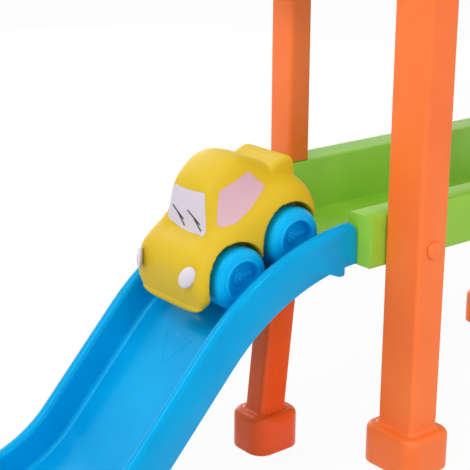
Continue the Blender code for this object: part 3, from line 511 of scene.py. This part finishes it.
# one row per ring from nose to tail: along, half width, sill, shoulder, belt out, belt up,
# roof edge out, roof edge up, roof middle, lean back (millimetres, lean as a slope)
shell = {
    "rings": (
        (46.7, 25.0, -5.4, 7.1, 18.4, 10.9, 9.6, 12.2, 12.8, 0.21),
        (44.6, 28.6, -6.0, 13.6, 20.6, 18.2, 11.1, 19.2, 19.8, 0.23),
        (35.2, 29.4, -3.9, 19.6, 20.9, 22.6, 11.9, 23.6, 24.2, 0.10),
        (22.3, 28.8, -3.2, 22.0, 20.9, 24.9, 16.0, 24.2, 24.8, 0.0),
        (11.9, 28.5, -3.2, 24.0, 21.0, 28.9, 14.4, 45.0, 47.4, 0.0),
        (-4.2, 28.5, -3.2, 24.5, 21.3, 29.4, 16.5, 51.0, 54.0, 0.0),
        (-17.0, 28.8, -3.2, 25.6, 21.0, 30.0, 16.4, 47.8, 50.6, 0.0),
        (-29.0, 28.8, -3.2, 26.2, 20.4, 29.4, 14.1, 33.2, 34.9, 0.0),
        (-38.2, 27.6, -3.2, 21.8, 19.6, 26.2, 12.1, 27.3, 27.8, 0.0),
        (-41.5, 21.9, -2.0, 10.4, 16.1, 15.8, 8.9, 18.5, 19.1, 0.0),
    ),
    # each ring's underside is this share of its width, its flank starts this far up, and the roof's
    # edge is rounded through a point at these shares of the way in and up
    "tuck": 0.8, "flankUp": 6.0, "roofIn": 0.5, "roofUp": 0.75,
    # edges kept tight, from (ring, column) to (ring, column), and how much
    "creases": (((3, 5), (3, 7), 0.8), ((3, 5), (4, 5), 0.45), ((4, 5), (4, 7), 0.35), ((4, 5), (6, 5), 0.3)),
    # the tail wing's side outline as (along, up), half its width and its rounding
    "wing": ((22.4, 34.8), (29.4, 36.3), (37.0, 36.4), (40.5, 34.8), (41.0, 30.3), (38.9, 25.0), (37.0, 18.0),
             (23.0, 18.0)),
    "wingHalf": 17.6, "wingRound": 2.6,
    # the lip under the nose: a slice up to a sloping cut, grown along and across and lowered
    "lip": dict(grow=(1.020, 1.010), sink=0.25, along=35.2, up=-3.0, slope=0.08, back=30),
    # half the wheelbase, then each arch's radius, place from its axle, inner wall and depth, and the
    # slots for the axles
    "base": 18.9, "arch": 18.3, "archAhead": 1.3, "archUp": 1.8, "well": 15.0, "archDeep": 16.0,
    "slot": dict(half=1.9, out=17.0, low=-9.0),
    # the hollow inside, as a side outline over its open underside
    "hollow": ((-33.3, -9.0), (-33.3, 15.3), (-21.9, 21.8), (-11.4, 41.4), (16.6, 41.4), (24.9, 24.0),
               (33.3, 15.3), (33.3, -9.0)),
    "hollowHalf": 12.9,
    # the blend over all of it
    "voxel": 0.57, "blend": 12,
}


def cagePoint(look, row, column):
    along, half, sill, shoulder, beltOut, beltUp, edgeOut, edgeUp, top, lean = look["rings"][row]
    y, z = ((0, sill), (half * look["tuck"], sill), (half, sill + look["flankUp"]), (half, shoulder),
            (beltOut, beltUp), (edgeOut, edgeUp),
            (edgeOut * look["roofIn"], edgeUp + (top - edgeUp) * look["roofUp"]), (0, top))[column]
    return Vector((-along + lean * (z - sill), -y, z)) * mm


def shellCage(look):
    # half of the shell as a coarse grid, one row of eight points for each ring
    only()
    rings = len(look["rings"])
    bpy.ops.mesh.primitive_grid_add(x_subdivisions=7, y_subdivisions=rings - 1, size=1)
    cage = bpy.context.object
    cage.name = "carShell"
    for vertex in cage.data.vertices:
        vertex.co = cagePoint(look, vertex.index // 8, vertex.index % 8)
    edit(cage, "VERT")
    for last in (0, rings - 1):   # nose and tail are closed across the middle
        pick(lambda v: v.index // 8 == last, "VERT")
        bpy.ops.mesh.edge_face_add()
    done()
    modify(cage, "MIRROR", use_axis=(False, True, False), use_clip=True, merge_threshold=near)
    return outward(cage)


def onLine(look, edge, first, last):
    # true for a cage edge between two cage points, on either side of the car
    spots = [cagePoint(look, row, column) for row in range(first[0], last[0] + 1)
             for column in range(first[1], last[1] + 1)]
    mirrored = [Vector((v.x, -v.y, v.z)) for v in spots]
    return any(all(min((v.co - spot).length for spot in group) < near for v in edge.verts)
               for group in (spots, mirrored))


def makeShell(look):
    cage = shellCage(look)
    for first, last, amount in look["creases"]:
        edit(cage)
        pick(lambda e: onLine(look, e, first, last), "EDGE")
        bpy.ops.transform.edge_crease(value=amount)
        done()
    modify(cage, "SUBSURF", levels=3, render_levels=3)
    lip = makeLip(cage, look["lip"])
    join(cage, makeWing(look))
    join(cage, lip)
    slot = look["slot"]
    for along in (-look["base"], look["base"]):
        for side in (-1, 1):
            out = side * (look["well"] + look["archDeep"] / 2)
            spot = Vector((along - look["archAhead"], out, look["archUp"])) * mm
            carve(cage, drum("archCutter", look["arch"] * mm, look["archDeep"] * mm, spot, 180))
        carve(cage, cube("axleSlot", Vector((along - slot["half"], -slot["out"], slot["low"])) * mm,
                         Vector((along + slot["half"], slot["out"], slot["half"])) * mm))
    carve(cage, prism("hollowCutter", look["hollow"], look["hollowHalf"]))
    modify(cage, "REMESH", mode="VOXEL", voxel_size=look["voxel"] * mm, adaptivity=0.0)
    modify(cage, "SMOOTH", factor=0.5, iterations=look["blend"])
    return smooth(cage, 180)


def makeLip(body, look):
    # the thin lip round the nose's lower edge: the shell's own lowest slice, a little larger
    lip = body.copy()
    lip.data = body.data.copy()
    lip.name = "noseLip"
    scene.collection.objects.link(lip)
    edit(lip)
    everything()
    bpy.ops.transform.resize(value=(*look["grow"], 1.0), center_override=(0, 0, 0))
    bpy.ops.transform.translate(value=(0, 0, -look["sink"] * mm))
    # the slice's top follows the sill, which drops towards the nose, and it ends before the wheels
    cuts = ((Vector((-look["along"], 0, look["up"])), Vector((-look["slope"], 0, -1))),
            (Vector((-look["back"], 0, 0)), Vector((-1, 0, 0))))
    for spot, normal in cuts:
        everything()
        bpy.ops.mesh.bisect(plane_co=spot * mm, plane_no=normal.normalized(), clear_inner=True, use_fill=True,
                            threshold=weld)
    done()
    return outward(lip)


def makeWing(look):
    # the tail wing, rounded all over
    wing = prism("tailWing", look["wing"], look["wingHalf"])
    return modify(wing, "BEVEL", width=look["wingRound"] * mm, segments=4, limit_method="ANGLE",
                  angle_limit=math.radians(25), use_clamp_overlap=True)


# windscreen and side windows: printed panels that follow the shell, their outlines as (across, height)
# and (along, height). A panel starts as a grid of cells, spread times as wide as its outline reaches
sheet = dict(cells=36, spread=2.2, shortest=0.02, thick=0.4)
glass = dict(sheet, round=1.3, corner=4, proud=0.12, border=0.55,
             screen=((-15.8, 25.9), (-12.6, 25.2), (-6.0, 24.9), (6.0, 25.2), (13.6, 26.6), (16.5, 28.3),
                     (13.7, 41.6), (11.4, 43.6), (-12.4, 43.7)),
             side=((-17.3, 28.2), (-8.6, 26.6), (1.0, 27.8), (16.6, 31.9), (12.6, 42.7), (-6.6, 42.4)))
# two wipers on the windscreen, each a thin arm and a blade, from (across, height) to (across, height)
wipers = dict(sheet, wide=0.55, proud=0.4, border=0.0,
              lines=(("nearWiperArm", (-11.6, 26.6), (-5.6, 31.6)), ("nearWiperBlade", (-10.4, 29.4), (-0.6, 34.2)),
                     ("farWiperArm", (1.6, 26.6), (7.6, 31.6)), ("farWiperBlade", (2.8, 29.4), (12.2, 34.0))))
# where a panel is drawn, 60 mm off the car's middle, the way across it, and the axis that it is thrown along
throws = {
    "front": (Vector((-60, 0, 0)), Vector((0, 1, 0)), "X"),
    "near": (Vector((0, -60, 0)), Vector((1, 0, 0)), "Y"),
    "far": (Vector((0, 60, 0)), Vector((1, 0, 0)), "Y"),
}


def roundedOutline(points, radius, steps):
    out = []
    for i, corner in enumerate(points):
        here = Vector(corner)
        back = (Vector(points[i - 1]) - here).normalized()
        ahead = (Vector(points[(i + 1) % len(points)]) - here).normalized()
        half = back.angle(ahead) / 2
        centre = here + (back + ahead).normalized() * (radius / math.sin(half))
        first = here + back * (radius / math.tan(half)) - centre
        last = here + ahead * (radius / math.tan(half)) - centre
        sweep = first.angle_signed(last)
        for k in range(steps + 1):
            out.append(centre + Matrix.Rotation(-sweep * k / steps, 2) @ first)
    return out


def makePanel(name, outline, throw, body, look):
    # a fine sheet trimmed to its outline, thrown onto the shell, then given a thickness
    origin, across, push = throws[throw]
    upward = Vector((0, 0, 1))
    centre = sum(outline, Vector((0, 0))) / len(outline)
    size = look["spread"] * max((spot - centre).length for spot in outline)
    only()
    bpy.ops.mesh.primitive_grid_add(x_subdivisions=look["cells"], y_subdivisions=look["cells"], size=size * mm)
    panel = bpy.context.object
    panel.name = name
    for vertex in panel.data.vertices:
        a, b = vertex.co.x / mm + centre.x, vertex.co.y / mm + centre.y
        vertex.co = (origin + across * a + upward * b) * mm
    pairs = list(zip(outline, outline[1:] + outline[:1]))
    turn = 1 if sum(here.cross(after) for here, after in pairs) > 0 else -1
    sides = [(here, Vector((after.y - here.y, here.x - after.x)).normalized() * turn)
             for here, after in pairs if (after - here).length >= look["shortest"]]
    for inset, trims in ((0, True), (look["border"], False)):
        for here, out in sides:
            at = here - out * inset
            edit(panel)
            everything()
            bpy.ops.mesh.bisect(plane_co=(origin + across * at.x + upward * at.y) * mm,
                                plane_no=across * out.x + upward * out.y, clear_outer=trims, threshold=weld)
            done()
    outward(panel)
    for face in panel.data.polygons:   # the border is the second material
        flat = face.center / mm - origin
        spot = Vector((flat.dot(across), flat.dot(upward)))
        face.material_index = int(any((spot - here).dot(out) > -look["border"] for here, out in sides))
    modify(panel, "SHRINKWRAP", target=body, wrap_method="PROJECT", use_project_x=push == "X",
           use_project_y=push == "Y", use_negative_direction=True, use_positive_direction=True)
    if sum(face.normal.dot(origin) for face in panel.data.polygons) < 0:
        turnOver(panel)
    modify(panel, "SOLIDIFY", thickness=(look["thick"] + look["proud"]) * mm,
           offset=look["proud"] * 2 / (look["thick"] + look["proud"]) - 1)
    return smooth(panel, 50)


def makeGlass(body, look):
    screen = roundedOutline(look["screen"], look["round"], look["corner"])
    side = roundedOutline(look["side"], look["round"], look["corner"])
    return [(makePanel("windscreen", screen, "front", body, look), "window_print"),
            (makePanel("nearSideWindow", side, "near", body, look), "side_print"),
            (makePanel("farSideWindow", side, "far", body, look), "side_print")]


def makeWipers(body, look):
    blades = []
    for name, here, after in look["lines"]:
        here, after = Vector(here), Vector(after)
        side = (after - here).orthogonal().normalized() * look["wide"] / 2
        strip = [here - side, after - side, after + side, here + side]
        blades.append(makePanel(name, strip, "front", body, look))
    return blades


# wheels, each modelled about its own axle with its outer face at +Y, then turned and placed
# from the rim inwards: a raised lip, the hub's floor, a step on it and a dot on the step, and a rib across

wheel = dict(radius=16.2, wide=14.2, outer=30.0, sides=72, tread=4.4, heel=1.8, lipOut=11.3, lipUp=0.75,
             hub=9.8, deep=4.6, step=3.5, stepUp=1.0, dot=1.3, dotUp=1.1, bore=1.9, boreDeep=7.9,
             soft=dict(lip=0.6, mouth=0.5, floor=0.8, root=0.1, step=0.4, dot=0.6), chord=3.0, sag=0.06,
             rib=dict(start=1.0, end=10.1, wide=2.4, up=1.1, sunk=0.4, round=0.4, turn=193))


def sinkFace(inset, push):
    # insets the chosen cap, then moves it along Y
    bpy.ops.mesh.inset(thickness=inset * mm)
    pull(0, push * mm, 0)


def isRing(edge, radius, along, look):
    # one of the chords of a ring: short, and with its middle a little inside the ring's radius
    spot = (edge.verts[0].co + edge.verts[1].co) / 2
    return (abs(math.hypot(spot.x, spot.z) - radius * mm) < look["sag"] * mm
            and abs(spot.y - along * mm) < near and edge.calc_length() < look["chord"] * mm)


def roundRing(radius, along, size, look, steps=3):
    pick(lambda e: isRing(e, radius, along, look), "EDGE")
    roundOff(size, steps)


def makeWheel(name, look):
    soft, rib = look["soft"], look["rib"]
    outer, inner = look["outer"], look["outer"] - look["wide"]
    lipTop, hubFloor = outer + look["lipUp"], outer - look["deep"]
    stepTop = hubFloor + look["stepUp"]
    dotTop = stepTop + look["dotUp"]
    centre = Vector((0, (outer + inner) / 2, 0)) * mm
    piece = drum(name, look["radius"] * mm, look["wide"] * mm, centre, look["sides"])
    edit(piece)
    pick(lambda f: f.normal.y > 0.9)
    sinkFace(look["radius"] - look["lipOut"], look["lipUp"])
    sinkFace(look["lipOut"] - look["hub"], hubFloor - lipTop)
    sinkFace(look["hub"] - look["step"], look["stepUp"])
    sinkFace(look["step"] - look["dot"], look["dotUp"])
    pick(lambda f: f.normal.y < -0.9)
    sinkFace(look["radius"] - look["bore"], look["boreDeep"])
    roundRing(look["radius"], outer, look["tread"], look, 9)
    roundRing(look["radius"], inner, look["heel"], look, 5)
    roundRing(look["lipOut"], lipTop, soft["lip"], look)
    roundRing(look["hub"], lipTop, soft["mouth"], look)
    roundRing(look["hub"], hubFloor, soft["floor"], look)
    roundRing(look["lipOut"], outer, soft["root"], look)
    roundRing(look["step"], stepTop, soft["step"], look)
    roundRing(look["dot"], dotTop, soft["dot"], look)
    done()
    outward(piece)
    bar = cube(name + "Rib", Vector((rib["start"], hubFloor - rib["sunk"], -rib["wide"] / 2)) * mm,
               Vector((rib["end"], hubFloor + rib["up"], rib["wide"] / 2)) * mm)
    modify(bar, "BEVEL", width=rib["round"] * mm, segments=3)
    settle(bar, Matrix.Rotation(math.radians(rib["turn"]), 4, "Y"))
    join(piece, bar)
    return smooth(piece, 60)


def makeWheels(look):
    for axle in ("front", "rear"):
        for side, turn in (("near", math.pi), ("far", 0)):
            piece = makeWheel(axle + side.title() + "Wheel", look)
            settle(piece, Matrix.Translation(middle(axle + "_axle")) @ Matrix.Rotation(turn, 4, "Z"))
            give(piece, finishes["wheel_blue"], axle + "_wheels", [f"{axle}_wheel_{side}"])


# headlights: domes seated in the wings of the nose, the back of each pressed flatter

lampLook = dict(along=42.3, out=19.7, up=15.0, deep=2.1, wide=4.0, tall=5.9, turn=46, lean=18, roll=42,
                backFrom=0.2, backFlat=0.45)


def makeHeadlights(look):
    for side, name in ((-1, "near"), (1, "far")):
        only()
        bpy.ops.mesh.primitive_uv_sphere_add(segments=40, ring_count=24, radius=1)
        lamp = bpy.context.object
        lamp.name = name + "Headlight"
        edit(lamp)
        everything()
        bpy.ops.transform.resize(value=(look["deep"] * mm, look["wide"] * mm, look["tall"] * mm))
        pick(lambda v: v.co.x > look["backFrom"] * mm, "VERT")
        bpy.ops.transform.resize(value=(look["backFlat"], 1, 1), center_override=(0, 0, 0))
        done()
        smooth(lamp, 180)
        # turned to its corner of the nose, leant back with the surface, then rolled about its own face
        lamp.matrix_world = (Matrix.Translation(Vector((-look["along"], side * look["out"], look["up"])) * mm)
                             @ Matrix.Rotation(math.radians(-side * look["turn"]), 4, "Z")
                             @ Matrix.Rotation(math.radians(look["lean"]), 4, "Y")
                             @ Matrix.Rotation(math.radians(-side * look["roll"]), 4, "X"))
        settle(lamp, toCar)
        give(lamp, finishes["lamp_white"], "car", [f"headlight_{name}"])


carShell = makeShell(shell)
windows = makeGlass(carShell, glass)
blades = makeWipers(carShell, wipers)
for piece, ink in windows:
    give(settle(piece, toCar), [finishes[ink], finishes["window_edge"]], "car")
for piece in blades:
    give(settle(piece, toCar), finishes["wiper_black"], "car")
give(settle(carShell, toCar), finishes["car_yellow"], "car", ["car_body"])
makeHeadlights(lampLook)
makeWheels(wheel)
print("car made")


# a faint raised triangle on the ramp's floor that points downhill; corners as (down the slope, across)
# bend is the radius of the floor's upper curve, lead how far its centre lies behind the deck's end, and
# steep the straight's fall in degrees
slopeMark = dict(corners=((-2.4, 10.2), (-2.4, -9.4), (14.6, 0.4)), cells=14, wide=1.0, tall=0.14, edge=-0.07,
                 sunk=0.3, bend=122.3, lead=4.7, steep=47.3)


def slopePlace(look, down, across, rise):
    # above the straight's upper end the floor is part of the ramp's curve
    angle = math.radians(look["steep"]) + min(down, 0) / look["bend"]
    reach, straight = look["bend"] + rise, max(down, 0)
    along = look["lead"] - reach * math.sin(angle) - straight * math.cos(angle)
    return Vector((along, across, reach * math.cos(angle) - look["bend"] - straight * math.sin(angle))) * mm


def makeSlopeMark(look):
    corners = [Vector(corner) for corner in look["corners"]]
    ridges = []
    for here, after in zip(corners, corners[1:] + corners[:1]):
        run = after - here
        out = run.orthogonal().normalized() * look["wide"]
        only()
        bpy.ops.mesh.primitive_grid_add(x_subdivisions=look["cells"], y_subdivisions=2, size=1)
        ridge = bpy.context.object
        for vertex in ridge.data.vertices:   # three rows of points, the middle one raised
            spot = here + run * (vertex.co.x + 0.5) + out * vertex.co.y
            rise = look["tall"] if abs(vertex.co.y) < 0.1 else look["edge"]
            vertex.co = slopePlace(look, spot.x, spot.y, rise)
        if sum(face.normal.z for face in ridge.data.polygons) < 0:
            turnOver(ridge)
        modify(ridge, "SOLIDIFY", thickness=look["sunk"] * mm, offset=-1)
        ridges.append(ridge)
    mark = ridges[0]
    mark.name = "slopeMark"
    for ridge in ridges[1:]:
        join(mark, ridge)
    settle(smooth(mark, 40), toLane)
    give(mark, finishes["ramp_blue"])


makeSlopeMark(slopeMark)
print("slope mark made")


# camera, light and floor

view = dict(lens=99.23, sensor=36, nearest=0.01, pitch=17.63, yaw=-38.93, roll=0.26,
            fromLane=(-449.29, -497.33, 213.03))


def addCamera(look):
    yaw, pitch, roll = (math.radians(look[key]) for key in ("yaw", "pitch", "roll"))
    turn = (Matrix.Rotation(yaw, 4, "Z") @ Matrix.Rotation(math.pi / 2 - pitch, 4, "X")
            @ Matrix.Rotation(roll, 4, "Z"))
    only()
    bpy.ops.object.camera_add()
    camera = bpy.context.object
    camera.name = "photoCamera"
    camera.data.lens = look["lens"]
    camera.data.sensor_width = look["sensor"]
    camera.data.clip_start = look["nearest"]
    camera.matrix_world = Matrix.Translation(lanePlace + Vector(look["fromLane"]) * mm) @ turn
    scene.camera = camera


# soft round lamps, in metres and watts, all turned to the garage's middle
lampAim = Vector((0, 0, 0.14))
lamps = {
    "keyLamp": dict(place=(-1.0, -0.2, 1.15), size=0.8, power=5.7),
    "fillLamp": dict(place=(-0.35, -1.3, 0.45), size=1.2, power=1.7),
    "edgeLamp": dict(place=(0.4, 1.4, 0.35), size=0.7, power=3.0),
    "sparkLamp": dict(place=(-0.2, -0.95, 1.3), size=0.1, power=1.8),
    "backLamp": dict(place=(-0.1, 1.1, 1.15), size=1.0, power=4.5),
}


def addLamp(name, look):
    only()
    bpy.ops.object.light_add(type="AREA", location=look["place"])
    lamp = bpy.context.object
    lamp.name = name
    lamp.data.shape = "DISK"
    lamp.data.size = look["size"]
    lamp.data.energy = look["power"]
    lamp.rotation_euler = (lampAim - Vector(look["place"])).to_track_quat("-Z", "Y").to_euler()


def seenDirectly(tree):
    # 1 for what the eye sees straight on or in a gloss, 0 for light that falls on the object
    rays = addNode(tree, "LightPath")
    either = addNode(tree, "Math", {0: rays.outputs["Is Camera Ray"], 1: rays.outputs["Is Glossy Ray"]},
                     operation="MAXIMUM")
    return either.outputs[0]


# a wide pale plate of matt board, faintly uneven every half metre, seen mostly white, that keeps the shadows
floorLook = dict(half=3.2, colour="#F3F3F2", shade="#EAEAE9", haze=500, rough=0.8, shine=0.2, white=0.93)


def addFloor(look):
    only()
    bpy.ops.mesh.primitive_plane_add(size=2 * look["half"], location=(0, 0, 0))
    plate = bpy.context.object
    plate.name = "studioFloor"
    material, tree, place = startMaterial("mattPaleBoard")
    haze = addNode(tree, "TexNoise", {"Vector": place, "Scale": perMetre(look["haze"]), "Detail": 2.0})
    colour = rampOf(tree, haze.outputs["Fac"], ((0.35, look["shade"]), (0.65, look["colour"])))
    lit = addNode(tree, "BsdfPrincipled", {"Base Color": colour, "Roughness": look["rough"],
                                           "Specular IOR Level": look["shine"]})
    white = addNode(tree, "Emission", {"Color": (1, 1, 1, 1), "Strength": 1.0})
    share = addNode(tree, "Math", {0: seenDirectly(tree), 1: look["white"]}, operation="MULTIPLY")
    mix = addNode(tree, "MixShader", {0: share.outputs[0], 1: lit.outputs["BSDF"], 2: white.outputs[0]})
    addNode(tree, "OutputMaterial", {"Surface": mix.outputs[0]})
    plate.data.materials.append(material)


skyLook = dict(light=0.74, seen=1.0)


def addSky(look):
    world = bpy.data.worlds.new("studioSky")
    world.use_nodes = True
    tree = world.node_tree
    tree.nodes.clear()
    light = addNode(tree, "Background", {"Color": (1, 1, 1, 1), "Strength": look["light"]})
    seen = addNode(tree, "Background", {"Color": (1, 1, 1, 1), "Strength": look["seen"]})
    mix = addNode(tree, "MixShader", {0: seenDirectly(tree), 1: light.outputs[0], 2: seen.outputs[0]})
    addNode(tree, "OutputWorld", {"Surface": mix.outputs[0]})
    scene.world = world


addCamera(view)
for name, look in lamps.items():
    addLamp(name, look)
addFloor(floorLook)
addSky(skyLook)
scene.view_settings.view_transform = "Standard"
print("camera, light and floor made")
